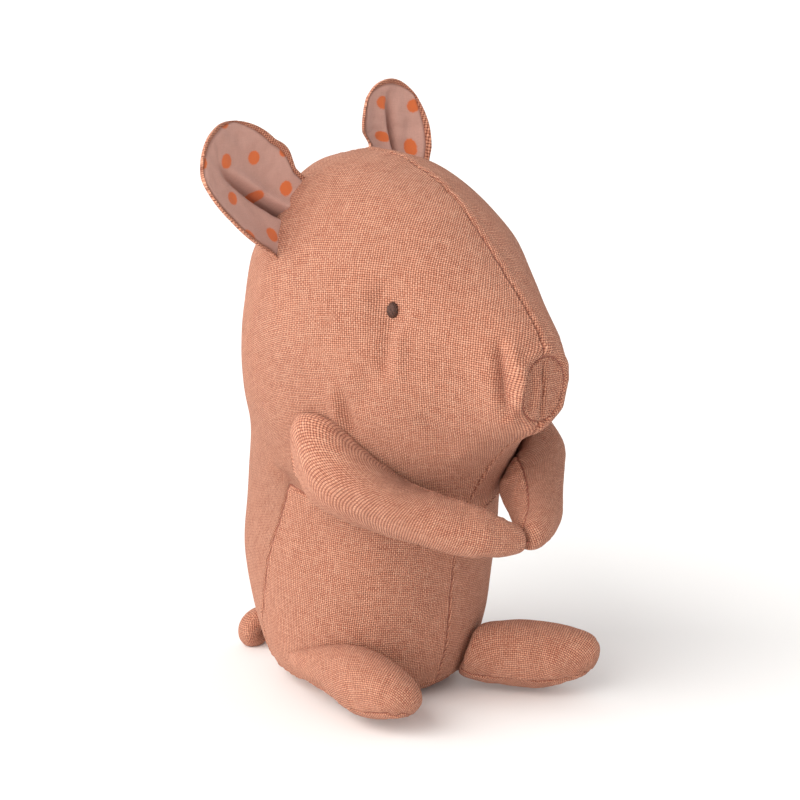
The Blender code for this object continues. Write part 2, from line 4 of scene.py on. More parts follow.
import bmesh
import bpy
from mathutils import Matrix, Vector, noise
from mathutils.bvhtree import BVHTree
from mathutils.kdtree import KDTree


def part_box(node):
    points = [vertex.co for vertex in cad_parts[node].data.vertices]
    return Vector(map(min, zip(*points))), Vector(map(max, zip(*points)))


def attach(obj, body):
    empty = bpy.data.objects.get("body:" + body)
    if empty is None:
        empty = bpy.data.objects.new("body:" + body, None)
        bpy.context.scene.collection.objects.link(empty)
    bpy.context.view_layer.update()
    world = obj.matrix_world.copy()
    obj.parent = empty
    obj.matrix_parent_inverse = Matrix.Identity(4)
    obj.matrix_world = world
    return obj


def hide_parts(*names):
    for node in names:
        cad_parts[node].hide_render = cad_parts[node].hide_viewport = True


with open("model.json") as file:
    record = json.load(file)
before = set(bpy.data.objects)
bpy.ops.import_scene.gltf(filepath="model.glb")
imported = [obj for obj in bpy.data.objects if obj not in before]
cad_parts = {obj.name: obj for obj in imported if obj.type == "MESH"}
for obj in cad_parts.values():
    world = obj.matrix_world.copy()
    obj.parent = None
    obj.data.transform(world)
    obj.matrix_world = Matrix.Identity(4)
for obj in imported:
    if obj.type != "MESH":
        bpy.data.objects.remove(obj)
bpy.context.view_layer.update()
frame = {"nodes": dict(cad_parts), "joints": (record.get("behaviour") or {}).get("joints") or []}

upward = Vector((0.0, 0.0, 1.0))
backward = Vector((0.0, 1.0, 0.0))
sideOf = {"right": -1.0, "left": 1.0}
floorGap = 0.0002  # the lowest that cloth may lie over the floor


# Meshes

def newObject(name, mesh):
    obj = bpy.data.objects.new(name, mesh)
    bpy.context.scene.collection.objects.link(obj)
    return obj


def meshOf(bm, name):
    mesh = bpy.data.meshes.new(name)
    bm.to_mesh(mesh)
    bm.free()
    return mesh


def openMesh(obj):
    bm = bmesh.new()
    bm.from_mesh(obj.data)
    return bm


def nodeCopy(node):
    bm = bmesh.new()
    bm.from_mesh(frame["nodes"][node].data)
    bmesh.ops.remove_doubles(bm, verts=bm.verts[:], dist=0.00001)
    bmesh.ops.recalc_face_normals(bm, faces=bm.faces[:])
    return bm


def applyModifiers(obj):
    bpy.context.view_layer.update()
    graph = bpy.context.evaluated_depsgraph_get()
    old = obj.data
    made = obj.evaluated_get(graph)
    mesh = bpy.data.meshes.new_from_object(made, preserve_all_data_layers=True, depsgraph=graph)
    obj.modifiers.clear()
    obj.data = mesh
    bpy.data.meshes.remove(old)
    mesh.name = obj.name


shellLimit = 1.4  # how much further a sharp edge may grow than a flat face


# The stuffing of the CAD part, grown to where its cloth lies, in small even faces.
def stuffedForm(name, nodes, growth, voxel, smoothing):
    bm = bmesh.new()
    for node in nodes:
        filling = nodeCopy(node)
        moves = [(vert, vert.normal * min(vert.calc_shell_factor(), shellLimit)) for vert in filling.verts]
        for vert, move in moves:
            vert.co += move * growth
        mesh = meshOf(filling, node)
        bm.from_mesh(mesh)
        bpy.data.meshes.remove(mesh)
    obj = newObject(name, meshOf(bm, name))
    remesh = obj.modifiers.new("Remesh", "REMESH")
    remesh.mode = "VOXEL"
    remesh.voxel_size = voxel
    smooth = obj.modifiers.new("Smooth", "SMOOTH")
    smooth.factor = 0.5
    smooth.iterations = smoothing
    applyModifiers(obj)
    return obj


relaxRounds = 3


# Marks the edges between panels as seams and draws their points onto the seam lines.
def layPanels(obj, panelAt, ontoSeams):
    bm = openMesh(obj)
    panel = {face: panelAt(face.calc_center_median()) for face in bm.faces}
    crease = bm.edges.layers.float.get("crease_edge") or bm.edges.layers.float.new("crease_edge")
    seam = set()
    for edge in bm.edges:
        edge.seam = len({panel[face] for face in edge.link_faces}) > 1
        if edge.seam:
            edge[crease] = 1.0
            seam.update(edge.verts)
    for vert in seam:
        ontoSeams(vert)
    loose = [vert for vert in bm.verts if vert not in seam]
    for _ in range(relaxRounds):
        bmesh.ops.smooth_vert(bm, verts=loose, factor=0.5, use_axis_x=True, use_axis_y=True, use_axis_z=True)
    pins = [vert.index for vert in seam]
    bm.to_mesh(obj.data)
    bm.free()
    return pins


stuffing = {
    "frames": 20,
    "quality": 6,
    "mass": 0.0002,
    "damping": 2.0,
    "stretch": 8.0,
    "shear": 4.0,
    "bending": 0.02,
}


# The stuffing presses the cloth out between its seams, but no further than limit.
def inflate(obj, pins, pressure, limit, slack):
    group = obj.vertex_groups.new(name="sewn")
    group.add(pins, 1.0, "REPLACE")
    modifier = obj.modifiers.new("Cloth", "CLOTH")
    cloth = modifier.settings
    cloth.quality = stuffing["quality"]
    cloth.mass = stuffing["mass"]
    cloth.air_damping = stuffing["damping"]
    cloth.tension_stiffness = stuffing["stretch"]
    cloth.compression_stiffness = stuffing["stretch"]
    cloth.shear_stiffness = stuffing["shear"]
    cloth.bending_stiffness = stuffing["bending"]
    cloth.shrink_min = -slack
    cloth.use_pressure = True
    cloth.uniform_pressure_force = pressure
    cloth.vertex_group_mass = "sewn"
    cloth.effector_weights.gravity = 0.0
    modifier.collision_settings.use_collision = False
    modifier.point_cache.frame_start = 1
    modifier.point_cache.frame_end = stuffing["frames"]
    rest = [vert.co.copy() for vert in obj.data.vertices]
    for number in range(1, stuffing["frames"] + 1):
        bpy.context.scene.frame_set(number)
    graph = bpy.context.evaluated_depsgraph_get()
    moved = [vert.co.copy() for vert in obj.evaluated_get(graph).data.vertices]
    bpy.context.scene.frame_set(1)
    obj.modifiers.clear()
    obj.vertex_groups.clear()
    longest = 0.0
    for vert, start, end in zip(obj.data.vertices, rest, moved):
        step = end - start
        longest = max(longest, step.length)
        if step.length > limit:
            step *= limit / step.length
        vert.co = start + step
    print(obj.name, "pressed out by up to", round(longest * 1000, 2), "mm")


islandStep = (0.37, 0.11)  # how far apart the panels lie on the flat pattern


# Lays the panels flat at their real size, with the cloth's threads turned as grains says.
def unwrap(obj, grains, rounds):
    bpy.ops.object.select_all(action="DESELECT")
    bpy.context.view_layer.objects.active = obj
    obj.select_set(True)
    bpy.ops.object.mode_set(mode="EDIT")
    bpy.ops.mesh.select_all(action="SELECT")
    bpy.ops.uv.unwrap(method="MINIMUM_STRETCH", margin=0.001, iterations=rounds)
    bpy.ops.object.mode_set(mode="OBJECT")
    bm = openMesh(obj)
    layer = bm.loops.layers.uv.verify()
    left = set(bm.faces)
    number = 0
    while left:
        island = [left.pop()]
        for face in island:
            for edge in face.edges:
                if edge.seam:
                    continue
                for other in edge.link_faces:
                    if other in left:
                        left.discard(other)
                        island.append(other)
        settleIsland(island, layer, grains, number)
        number += 1
    bm.to_mesh(obj.data)
    bm.free()
    obj.data.uv_layers[0].name = "weave"


# Turns and sizes one flat panel by the direction of its threads on the form.
def settleIsland(island, layer, grains, number):
    area = flat = 0.0
    lean = Vector((0.0, 0.0))
    middle = Vector()
    for face in island:
        middle += face.calc_center_median() / len(island)
    grain, turn = grains(middle)
    for face in island:
        first, second, third = face.loops[0], face.loops[1], face.loops[-1]
        along, aside = second.vert.co - first.vert.co, third.vert.co - first.vert.co
        uvAlong, uvAside = second[layer].uv - first[layer].uv, third[layer].uv - first[layer].uv
        flat += abs(uvAlong.x * uvAside.y - uvAlong.y * uvAside.x)
        area += along.cross(aside).length
        gram = Matrix(((along.dot(along), along.dot(aside)), (along.dot(aside), aside.dot(aside))))
        if gram.determinant() < 1e-24:
            continue
        share = gram.inverted() @ Vector((grain.dot(along), grain.dot(aside)))
        lean += (uvAlong * share.x + uvAside * share.y) * face.calc_area()
    size = math.sqrt(area / max(flat, 1e-12))
    angle = math.pi / 2 - math.atan2(lean.y, lean.x) + math.radians(turn)
    spin = Matrix.Rotation(angle, 2)
    for face in island:
        for loop in face.loops:
            shift = Vector((islandStep[0] * number, islandStep[1] * number))
            loop[layer].uv = spin @ (loop[layer].uv * size) + shift


def subdivide(obj, levels):
    smooth = obj.modifiers.new("Smooth", "SUBSURF")
    smooth.levels = levels
    smooth.render_levels = levels
    smooth.boundary_smooth = "PRESERVE_CORNERS"
    applyModifiers(obj)


# Divides the faces beside the seams again, so that a seam can be drawn in sharply.
def refine(obj, reach):
    bm = openMesh(obj)
    tree = seamTree(bm)
    near = []
    for edge in bm.edges:
        if all(tree.find(vert.co)[2] < reach for vert in edge.verts):
            near.append(edge)
    bmesh.ops.subdivide_edges(bm, edges=near, cuts=1, use_grid_fill=True)
    bm.to_mesh(obj.data)
    bm.free()


def seamTree(bm):
    seam = {vert for edge in bm.edges if edge.seam for vert in edge.verts}
    tree = KDTree(len(seam))
    for vert in seam:
        tree.insert(vert.co, vert.index)
    tree.balance()
    return tree


# The seam lines as rows of points, each with the surface's normal there.
def seamChains(bm):
    left = {edge for edge in bm.edges if edge.seam}
    chains = []
    while left:
        edge = left.pop()
        row = [edge.verts[0], edge.verts[1]]
        for _ in range(2):
            while True:
                onward = row[-1].co - row[-2].co
                found = [e for e in row[-1].link_edges if e in left]
                if not found:
                    break
                end = row[-1]
                best = max(found, key=lambda e: (e.other_vert(end).co - end.co).normalized().dot(onward))
                left.discard(best)
                row.append(best.other_vert(row[-1]))
            row.reverse()
        chains.append([(vert.co.copy(), vert.normal.copy()) for vert in row])
    return chains


# 1 at zero, and almost 0 from twice the width on.
def bell(value, width):
    return math.exp(-((value / width) ** 2))


foldShape = {"reach": 3.0, "lift": 0.006, "fade": 0.7}


# A fold of cloth runs from start to end. It is a ridge, or a valley where its height is below zero.
def fold(start, end, width, height):
    return {"start": start, "end": end, "width": width, "height": height}


# What the folds of the cloth add at a place. A fold fades out towards its start and its end.
def foldHeight(place, normal, folds):
    height = 0.0
    for entry in folds:
        start, end = Vector(entry["start"]), Vector(entry["end"])
        along = end - start
        share = (place - start).dot(along) / along.length_squared
        if share < 0 or share > 1:
            continue
        off = place - start.lerp(end, share)
        lift = off.dot(normal)
        away = (off - normal * lift).length
        if away > foldShape["reach"] * entry["width"] or abs(lift) > foldShape["lift"]:
            continue
        fade = math.sin(math.pi * share) ** foldShape["fade"]
        height += entry["height"] * bell(away, entry["width"]) * fade
    return height


lumpSeed = Vector((7.1, 3.3, 1.7))
lipAt = 2.2  # widths of the groove from the seam
# How dark the painted shade gets in each kind of hollow.
creaseShade = {"groove": 0.8, "narrow": 0.7, "foldDepth": 0.0085, "pucker": 0.2}


# Draws in the seams and puckers, folds and lumps of the cloth, and stores the painted shade of its seams'
# grooves, folds' valleys and puckers.
def workCloth(obj, look, folds, heightAt=None):
    bm = openMesh(obj)
    bm.normal_update()
    tree = seamTree(bm)
    # The crease attribute holds painted shade for the cloth's hollows.
    depth = bm.verts.layers.float.new("crease")
    moves = []
    for vert in bm.verts:
        seam, _, away = tree.find(vert.co)
        groove = bell(away, look["grooveWidth"])
        pucker = noise.noise(seam / look["puckerSize"]) * bell(away - look["puckerAt"], look["puckerReach"])
        lump = noise.noise(vert.co / look["lumpSize"] + lumpSeed)
        height = lump * look["lumpHeight"] * (1 - groove)
        height += pucker * look["puckerHeight"] - groove * look["grooveDepth"]
        height += look["lip"] * bell(away - lipAt * look["grooveWidth"], look["grooveWidth"])
        folded = foldHeight(vert.co, vert.normal, folds)
        height += folded
        if heightAt:
            height += heightAt(vert.co, away)
        # Painted shade: darker in the seam's groove, in a fold's valley and in a pucker's hollow.
        dark = creaseShade["groove"] * bell(away, creaseShade["narrow"] * look["grooveWidth"])
        dark += max(0.0, -folded / creaseShade["foldDepth"])
        vert[depth] = min(1.0, dark + max(0.0, -pucker) * creaseShade["pucker"])
        moves.append((vert, vert.normal * height))
    for vert, move in moves:
        vert.co += move
        vert.co.z = max(vert.co.z, floorGap)
    bm.normal_update()
    chains = seamChains(bm)
    bm.to_mesh(obj.data)
    bm.free()
    obj.data.shade_smooth()
    return chains


stitchSwing = 12.9  # sets how the stitches' slants follow each other


# Short straight stitches of thread that lie in the seams, where keep says so.
def stitches(name, chains, look, material, keep=None):
    bm = bmesh.new()
    for chain in chains:
        travelled, due = 0.0, look["pitch"] / 2
        for (first, firstNormal), (second, _) in zip(chain, chain[1:]):
            step = second - first
            length = step.length
            while length > 0 and travelled + length >= due:
                share = (due - travelled) / length
                centre = first.lerp(second, share) + firstNormal * look["lift"]
                along = step.normalized()
                across = along.cross(firstNormal).normalized()
                skew = look["skew"] * math.sin(due / look["pitch"] * stitchSwing)
                along = (along + across * skew).normalized()
                place = Matrix((along, across, along.cross(across))).transposed().to_4x4()
                place.translation = centre
                size = Matrix.Diagonal((look["length"] / 2, look["radius"], look["radius"], 1.0))
                if keep is None or keep(centre):
                    bmesh.ops.create_icosphere(bm, subdivisions=2, radius=1.0, matrix=place @ size)
                due += look["pitch"]
            travelled += length
    obj = newObject(name, meshOf(bm, name))
    obj.data.shade_smooth()
    obj.data.materials.append(material)
    return obj


# Materials

def newMaterial(name):
    material = bpy.data.materials.new(name)
    material.use_nodes = True
    tree = material.node_tree
    return material, tree, tree.nodes["Principled BSDF"]


def feed(tree, socket, value):
    if isinstance(value, bpy.types.NodeSocket):
        tree.links.new(value, socket)
    else:
        socket.default_value = value


def calc(tree, operation, *values):
    node = tree.nodes.new("ShaderNodeMath")
    node.operation = operation
    for socket, value in zip(node.inputs, values):
        feed(tree, socket, value)
    return node.outputs[0]


def vectorCalc(tree, operation, *values):
    node = tree.nodes.new("ShaderNodeVectorMath")
    node.operation = operation
    for socket, value in zip(node.inputs, values):
        feed(tree, socket, value)
    return node.outputs[0]


def noiseOf(tree, vector, scale, detail=2.0, colour=False):
    node = tree.nodes.new("ShaderNodeTexNoise")
    node.inputs["Scale"].default_value = scale
    node.inputs["Detail"].default_value = detail
    feed(tree, node.inputs["Vector"], vector)
    return node.outputs["Color" if colour else "Fac"]


def mixColour(tree, share, first, second, blend="MIX"):
    node = tree.nodes.new("ShaderNodeMix")
    node.data_type = "RGBA"
    node.blend_type = blend
    feed(tree, node.inputs["Factor"], share)
    feed(tree, node.inputs[6], first if isinstance(first, bpy.types.NodeSocket) else (*first, 1.0))
    feed(tree, node.inputs[7], second if isinstance(second, bpy.types.NodeSocket) else (*second, 1.0))
    return node.outputs[2]


def combine(tree, x, y, z=0.0):
    node = tree.nodes.new("ShaderNodeCombineXYZ")
    for socket, value in zip(node.inputs, (x, y, z)):
        feed(tree, socket, value)
    return node.outputs[0]


def mapRange(tree, value, low, high, toLow, toHigh):
    node = tree.nodes.new("ShaderNodeMapRange")
    for socket, number in zip(node.inputs, (value, low, high, toLow, toHigh)):
        feed(tree, socket, number)
    return node.outputs[0]


weaveShape = {
    "bendScale": 90.0,
    "slubAcross": 5.7,
    "slubAlong": 0.13,
    "crownPower": 0.8,
    "wave": 0.34,
    "thin": 0.48,
    "thick": 0.86,
}


# A plain weave over the panel's own flat pattern, and where its warp is on top. tone tells the threads apart.
def weave(tree, threads, wander):
    pattern = tree.nodes.new("ShaderNodeUVMap")
    pattern.uv_map = "weave"
    bend = noiseOf(tree, pattern.outputs[0], weaveShape["bendScale"], 5.0, colour=True)
    bend = vectorCalc(tree, "SUBTRACT", bend, (0.5, 0.5, 0.5))
    bend = vectorCalc(tree, "MULTIPLY", bend, (wander, wander, 0.0))
    place = vectorCalc(tree, "ADD", pattern.outputs[0], bend)
    place = vectorCalc(tree, "MULTIPLY", place, (threads, threads, 0.0))
    split = tree.nodes.new("ShaderNodeSeparateXYZ")
    feed(tree, split.inputs[0], place)
    across, along = split.outputs[0], split.outputs[1]
    column, row = calc(tree, "FLOOR", across), calc(tree, "FLOOR", along)
    tones = []
    heights = []
    for over, line, run, sign in ((across, column, along, 1.0), (along, row, across, -1.0)):
        slubAt = calc(tree, "MULTIPLY", line, weaveShape["slubAcross"])
        slubRun = calc(tree, "MULTIPLY", run, weaveShape["slubAlong"])
        slub = noiseOf(tree, combine(tree, slubAt, slubRun, sign), 1.0, 3.0)
        tones.append(slub)
        crown = calc(tree, "ABSOLUTE", calc(tree, "SINE", calc(tree, "MULTIPLY", over, math.pi)))
        crown = calc(tree, "POWER", crown, weaveShape["crownPower"])
        wave = calc(tree, "SINE", calc(tree, "MULTIPLY", calc(tree, "ADD", run, line), math.pi))
        wave = calc(tree, "MULTIPLY", wave, weaveShape["wave"] * sign)
        width = mapRange(tree, slub, 0.3, 0.75, weaveShape["thin"], weaveShape["thick"])
        heights.append(calc(tree, "ADD", calc(tree, "MULTIPLY", crown, width), wave))
    height = calc(tree, "MAXIMUM", *heights)
    warpOver = calc(tree, "GREATER_THAN", *heights)
    warpTone = calc(tree, "MULTIPLY", warpOver, tones[0])
    weftTone = calc(tree, "MULTIPLY", calc(tree, "SUBTRACT", 1.0, warpOver), tones[1])
    tone = calc(tree, "ADD", warpTone, weftTone)
    return pattern.outputs[0], height, warpOver, tone


def bumped(tree, shader, height, distance, strength):
    bump = tree.nodes.new("ShaderNodeBump")
    bump.inputs["Strength"].default_value = strength
    bump.inputs["Distance"].default_value = distance
    feed(tree, bump.inputs["Height"], height)
    tree.links.new(bump.outputs[0], shader.inputs["Normal"])


linenLook = {
    "warp": (0.68, 0.303, 0.192),
    "weft": (0.56, 0.228, 0.140),
    # The colour of the painted shade between the threads.
    "gap": (0.17, 0.036, 0.019),
    "slub": (0.79, 0.455, 0.320),
    # The colour of the painted shade in seams, folds and pleats.
    "deep": (0.22, 0.040, 0.022),
    "threads": 1320.0,
    "wander": 0.0014,
    "slubShare": 0.5,
    "fleckScale": 0.73,
    "fleck": 0.2,
    "gapFrom": 0.34,
    "gapTo": 0.86,
    "cloudScale": 45.0,
    "cloud": 0.16,
    "creaseShadeShare": 0.8,
    "fuzzScale": 2600.0,
    "fuzz": 0.35,
    "relief": 0.0006,
    "roughness": 0.92,
    "sheen": 0.18,
    "sheenTint": (1.0, 0.72, 0.60, 1.0),
}


def linen(name, look):
    material, tree, shader = newMaterial(name)
    pattern, height, warpOver, tone = weave(tree, look["threads"], look["wander"])
    colour = mixColour(tree, warpOver, look["weft"], look["warp"])
    light = mapRange(tree, tone, 0.38, 0.72, 0.0, look["slubShare"])
    colour = mixColour(tree, light, colour, look["slub"])
    fleckPlace = vectorCalc(tree, "MULTIPLY", pattern, (look["fleckScale"] * look["threads"],) * 3)
    fleck = calc(tree, "SUBTRACT", noiseOf(tree, fleckPlace, 1.0, 2.0), 0.5)
    height = calc(tree, "ADD", height, calc(tree, "MULTIPLY", fleck, look["fleck"]))
    # Painted shade in the gaps between the threads, where the weave lies low.
    gap = mapRange(tree, height, look["gapFrom"], look["gapTo"], 1.0, 0.0)
    colour = mixColour(tree, gap, colour, look["gap"])
    cloud = noiseOf(tree, pattern, look["cloudScale"], 3.0)
    colour = mixColour(tree, mapRange(tree, cloud, 0.3, 0.7, 0.0, look["cloud"]), colour, look["weft"])
    # Painted shade: the crease attribute darkens the seams, folds and pleats towards the deep colour.
    crease = tree.nodes.new("ShaderNodeAttribute")
    crease.attribute_name = "crease"
    deep = mapRange(tree, crease.outputs["Fac"], 0.1, 1.0, 0.0, look["creaseShadeShare"])
    colour = mixColour(tree, deep, colour, look["deep"])
    feed(tree, shader.inputs["Base Color"], colour)
    shader.inputs["Roughness"].default_value = look["roughness"]
    shader.inputs["Specular IOR Level"].default_value = 0.25
    shader.inputs["Sheen Weight"].default_value = look["sheen"]
    shader.inputs["Sheen Roughness"].default_value = 0.5
    shader.inputs["Sheen Tint"].default_value = look["sheenTint"]
    fuzz = calc(tree, "MULTIPLY", noiseOf(tree, pattern, look["fuzzScale"], 2.0), look["fuzz"])
    bumped(tree, shader, calc(tree, "ADD", height, fuzz), look["relief"], 1.0)
    return material


cottonLook = {
    "ground": (0.51, 0.290, 0.238),
    "dot": (0.66, 0.150, 0.040),
    # The colour of the painted shade at the rim seam and in the pleats.
    "deep": (0.16, 0.05, 0.03),
    "threads": 2600.0,
    "wander": 0.0006,
    "spacing": 0.0136,
    "dotRadius": 0.0024,
    "lightened": 1.25,
    # How dark the painted shade between the threads gets.
    "darkened": 0.45,
    "relief": 0.00018,
    "roughness": 0.85,
    "sheen": 0.15,
}


def cotton(name, look):
    material, tree, shader = newMaterial(name)
    pattern, height, _, tone = weave(tree, look["threads"], look["wander"])
    split = tree.nodes.new("ShaderNodeSeparateXYZ")
    feed(tree, split.inputs[0], pattern)
    row = calc(tree, "DIVIDE", split.outputs[1], look["spacing"])
    column = calc(tree, "DIVIDE", split.outputs[0], look["spacing"])
    aside = calc(tree, "SUBTRACT", calc(tree, "FRACT", column), 0.5)
    above = calc(tree, "SUBTRACT", calc(tree, "FRACT", row), 0.5)
    squares = [calc(tree, "MULTIPLY", part, part) for part in (aside, above)]
    away = calc(tree, "SQRT", calc(tree, "ADD", *squares))
    ragged = calc(tree, "MULTIPLY", noiseOf(tree, pattern, 1500.0, 1.0), 0.05)
    away = calc(tree, "ADD", away, ragged)
    edge = look["dotRadius"] / look["spacing"]
    dot = mapRange(tree, away, edge + 0.01, edge + 0.05, 1.0, 0.0)
    light = tuple(look["lightened"] * part for part in look["ground"])
    dark = tuple(look["darkened"] * part for part in look["ground"])
    ground = mixColour(tree, mapRange(tree, tone, 0.3, 0.7, 0.0, 0.35), look["ground"], light)
    colour = mixColour(tree, dot, ground, look["dot"])
    # Painted shade in the gaps between the threads.
    gap = mapRange(tree, height, 0.18, 0.6, 0.45, 0.0)
    colour = mixColour(tree, gap, colour, dark)
    # Painted shade: the crease attribute darkens the rim seam and the pleats towards the deep colour.
    crease = tree.nodes.new("ShaderNodeAttribute")
    crease.attribute_name = "crease"
    deep = mapRange(tree, crease.outputs["Fac"], 0.0, 1.0, 0.0, 0.75)
    colour = mixColour(tree, deep, colour, look["deep"])
    feed(tree, shader.inputs["Base Color"], colour)
    shader.inputs["Roughness"].default_value = look["roughness"]
    shader.inputs["Specular IOR Level"].default_value = 0.3
    shader.inputs["Sheen Weight"].default_value = look["sheen"]
    bumped(tree, shader, height, look["relief"], 0.7)
    return material


# Thread, with light and dark specks for its fibres.
def threadMaterial(name, light, dark):
    material, tree, shader = newMaterial(name)
    place = tree.nodes.new("ShaderNodeTexCoord")
    speck = noiseOf(tree, place.outputs["Object"], 2200.0, 3.0)
    colour = mixColour(tree, mapRange(tree, speck, 0.3, 0.7, 0.0, 1.0), dark, light)
    feed(tree, shader.inputs["Base Color"], colour)
    shader.inputs["Roughness"].default_value = 0.6
    shader.inputs["Sheen Weight"].default_value = 0.05
    bumped(tree, shader, speck, 0.0002, 0.6)
    return material


linenCloth = linen("linen", linenLook)
dottedCotton = cotton("dotted_cotton", cottonLook)
seamThread = threadMaterial("seam_thread", (0.42, 0.13, 0.08), (0.16, 0.035, 0.02))
eyeThread = threadMaterial("eye_thread", (0.11, 0.035, 0.018), (0.022, 0.008, 0.005))


# Body

body = {
    "sideTurn": -16.0,
    "bellyTurn": -22.0,
    "unwrapRounds": 20,
    "growth": 0.0010,
    "voxel": 0.0020,
    "smoothing": 12,
    "fineReach": 0.0026,
    "stitchesFrom": 0.007,
    "snapReach": 0.9,
    "pressure": 4.0,
    "limit": 0.0014,
    "slack": 0.02,
    "cheekCorner": (0.0, -0.010, 0.085),
    "sideLean": 20.0,
    "throatTilt": 14.0,
    "seatRise": 0.006,
    "diskRadius": 0.0116,
    "diskNarrow": 0.87,
    "diskAside": 0.0010,
    "diskDepth": 0.0045,
    "diskSunk": 0.0006,
    "rollHeight": 0.0013,
    "rollWidth": 0.0019,
    "tipGrowth": 0.0012,
    "tipReach": 0.017,
    "eyeDimple": 0.0028,
    "dimpleRadius": 0.0058,
    "neck": (0.100, 0.011, -0.0018),
    "bulge": (0.053, 0.024, 0.0015),
    "allowanceAt": 0.0024,
    "allowanceWidth": 0.0022,
    "allowanceHeight": 0.0005,
}
bodyLook = {
    "grooveWidth": 0.00045,
    "grooveDepth": 0.0007,
    "lip": 0.00025,
    "puckerSize": 0.0032,
    "puckerAt": 0.0018,
    "puckerReach": 0.0035,
    "puckerHeight": 0.0005,
    "lumpSize": 0.022,
    "lumpHeight": 0.0008,
}
bodyStitch = {"pitch": 0.0024, "length": 0.0016, "radius": 0.00022, "lift": 0.00005, "skew": 0.25}
bodyFolds = [
    fold((-0.0345, -0.0520, 0.1535), (-0.0385, -0.0520, 0.1290), 0.0026, -0.0014),
    fold((-0.0325, -0.0555, 0.1510), (-0.0360, -0.0570, 0.1310), 0.0024, 0.0012),
    fold((-0.0400, -0.0460, 0.1560), (-0.0350, -0.0500, 0.1660), 0.0026, -0.0012),
    fold((-0.0375, -0.0515, 0.1420), (-0.0430, -0.0410, 0.1170), 0.0042, -0.0010),
    fold((-0.0155, -0.0870, 0.1500), (-0.0125, -0.0890, 0.1190), 0.0024, -0.0038),
    fold((-0.0115, -0.0900, 0.1480), (-0.0085, -0.0900, 0.1210), 0.0024, 0.0018),
    fold((-0.0120, -0.0900, 0.1270), (-0.0050, -0.0900, 0.1150), 0.0016, -0.0018),
    fold((0.0160, -0.0880, 0.1450), (0.0150, -0.0900, 0.1200), 0.0022, -0.0016),
    fold((0.0008, -0.0930, 0.1415), (0.0014, -0.0920, 0.1180), 0.0010, -0.0022),
    fold((-0.0022, -0.0930, 0.1400), (-0.0018, -0.0920, 0.1190), 0.0018, 0.0017),
    fold((-0.0445, -0.0365, 0.1270), (-0.0422, -0.0405, 0.1070), 0.0026, -0.0020),
    fold((-0.0470, -0.0325, 0.1280), (-0.0450, -0.0360, 0.1080), 0.0024, 0.0012),
    fold((-0.0300, -0.0620, 0.1190), (-0.0170, -0.0695, 0.1030), 0.0034, -0.0014),
    fold((-0.0500, 0.0010, 0.0905), (-0.0455, -0.0180, 0.0845), 0.0024, -0.0018),
    fold((0.0345, -0.0520, 0.1535), (0.0385, -0.0520, 0.1320), 0.0022, -0.0015),
    fold((0.0445, -0.0365, 0.1260), (0.0425, -0.0400, 0.1080), 0.0026, -0.0018),
]

corner = Vector(body["cheekCorner"])
lean, tilt = math.radians(body["sideLean"]), math.radians(body["throatTilt"])
sideForward = Vector((0.0, -math.cos(lean), -math.sin(lean)))
throatDown = Vector((0.0, math.sin(tilt), -math.cos(tilt)))
diskCentre = (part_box("snout_disk")[0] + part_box("snout_disk")[1]) / 2 + Vector((body["diskAside"], 0.0, 0.0))
eyeCentres = [(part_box(f"{name}_eye")[0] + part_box(f"{name}_eye")[1]) / 2 for name in sideOf]
diskFacing = Vector((0.0, -1.0, 0.08)).normalized()


# How far a place lies from the middle of the snout's disk, along the disk and in front of it.
def fromDisk(place):
    away = place - diskCentre
    deep = away.dot(diskFacing)
    aside = away - diskFacing * deep
    aside.x /= body["diskNarrow"]
    return aside, deep


def bodyPanel(place):
    aside, deep = fromDisk(place)
    if abs(deep) < body["diskDepth"] and aside.length < body["diskRadius"]:
        return "disk"
    if place.z < body["seatRise"]:
        return "seat"
    side = "left" if place.x > 0 else "right"
    if (place - corner).dot(sideForward) > 0 and (place - corner).dot(throatDown) > 0:
        return side + "Belly"
    return side + "Side"


def ontoBodySeams(vert):
    reach = body["snapReach"] * body["voxel"]
    aside, deep = fromDisk(vert.co)
    if abs(deep) < body["diskDepth"] and abs(aside.length - body["diskRadius"]) < reach:
        move = aside.normalized() * (body["diskRadius"] - aside.length)
        move.x *= body["diskNarrow"]
        vert.co += move
        return
    if abs(vert.co.z - body["seatRise"]) < reach:
        vert.co.z = body["seatRise"]
    if abs(vert.co.x) < reach:
        vert.co.x = 0.0
    forward, down = (vert.co - corner).dot(sideForward), (vert.co - corner).dot(throatDown)
    if abs(forward) < reach and down > -reach:
        vert.co -= sideForward * forward
    elif abs(down) < reach and forward > -reach:
        vert.co -= throatDown * down


def bodyGrain(middle):
    if abs(middle.x) < 0.004:
        return upward, 0.0
    onBelly = (middle - corner).dot(sideForward) > 0.01 and middle.z < corner.z
    turn = body["bellyTurn"] if onBelly else body["sideTurn"]
    return upward, turn if middle.x < 0 else -turn


# The fuller snout, the roll round its disk, the eyes' dimples, the neck and the ridge beside the centre seam.
def bodyRelief(place, away):
    aside, deep = fromDisk(place)
    height = body["tipGrowth"] * bell((place - diskCentre).length, body["tipReach"])
    off = aside.length - body["diskRadius"]
    onDisk = off < 0 and abs(deep) < body["diskDepth"]
    height += body["rollHeight"] * bell(off - 1.3 * body["rollWidth"], body["rollWidth"]) * bell(deep, 0.006)
    if onDisk:
        height -= body["diskSunk"] * (1 - bell(off, 0.0015))
    for eye in eyeCentres:
        if abs(place.x - eye.x) < 0.02:
            height -= body["eyeDimple"] * bell((place - eye).length, body["dimpleRadius"])
    behind = min(max((place.y + 0.022) / 0.02, 0.0), 1.0)
    for level, reach, swell in (body["neck"], body["bulge"]):
        height += behind * swell * bell(place.z - level, reach)
    if place.x > 0 and place.z > 0.09 and place.y < 0.03 and away < 0.01 and not onDisk:
        ridge = bell(place.x - body["allowanceAt"], body["allowanceWidth"] / 2)
        height += body["allowanceHeight"] * ridge * min(1.0, place.x / 0.001)
    return height


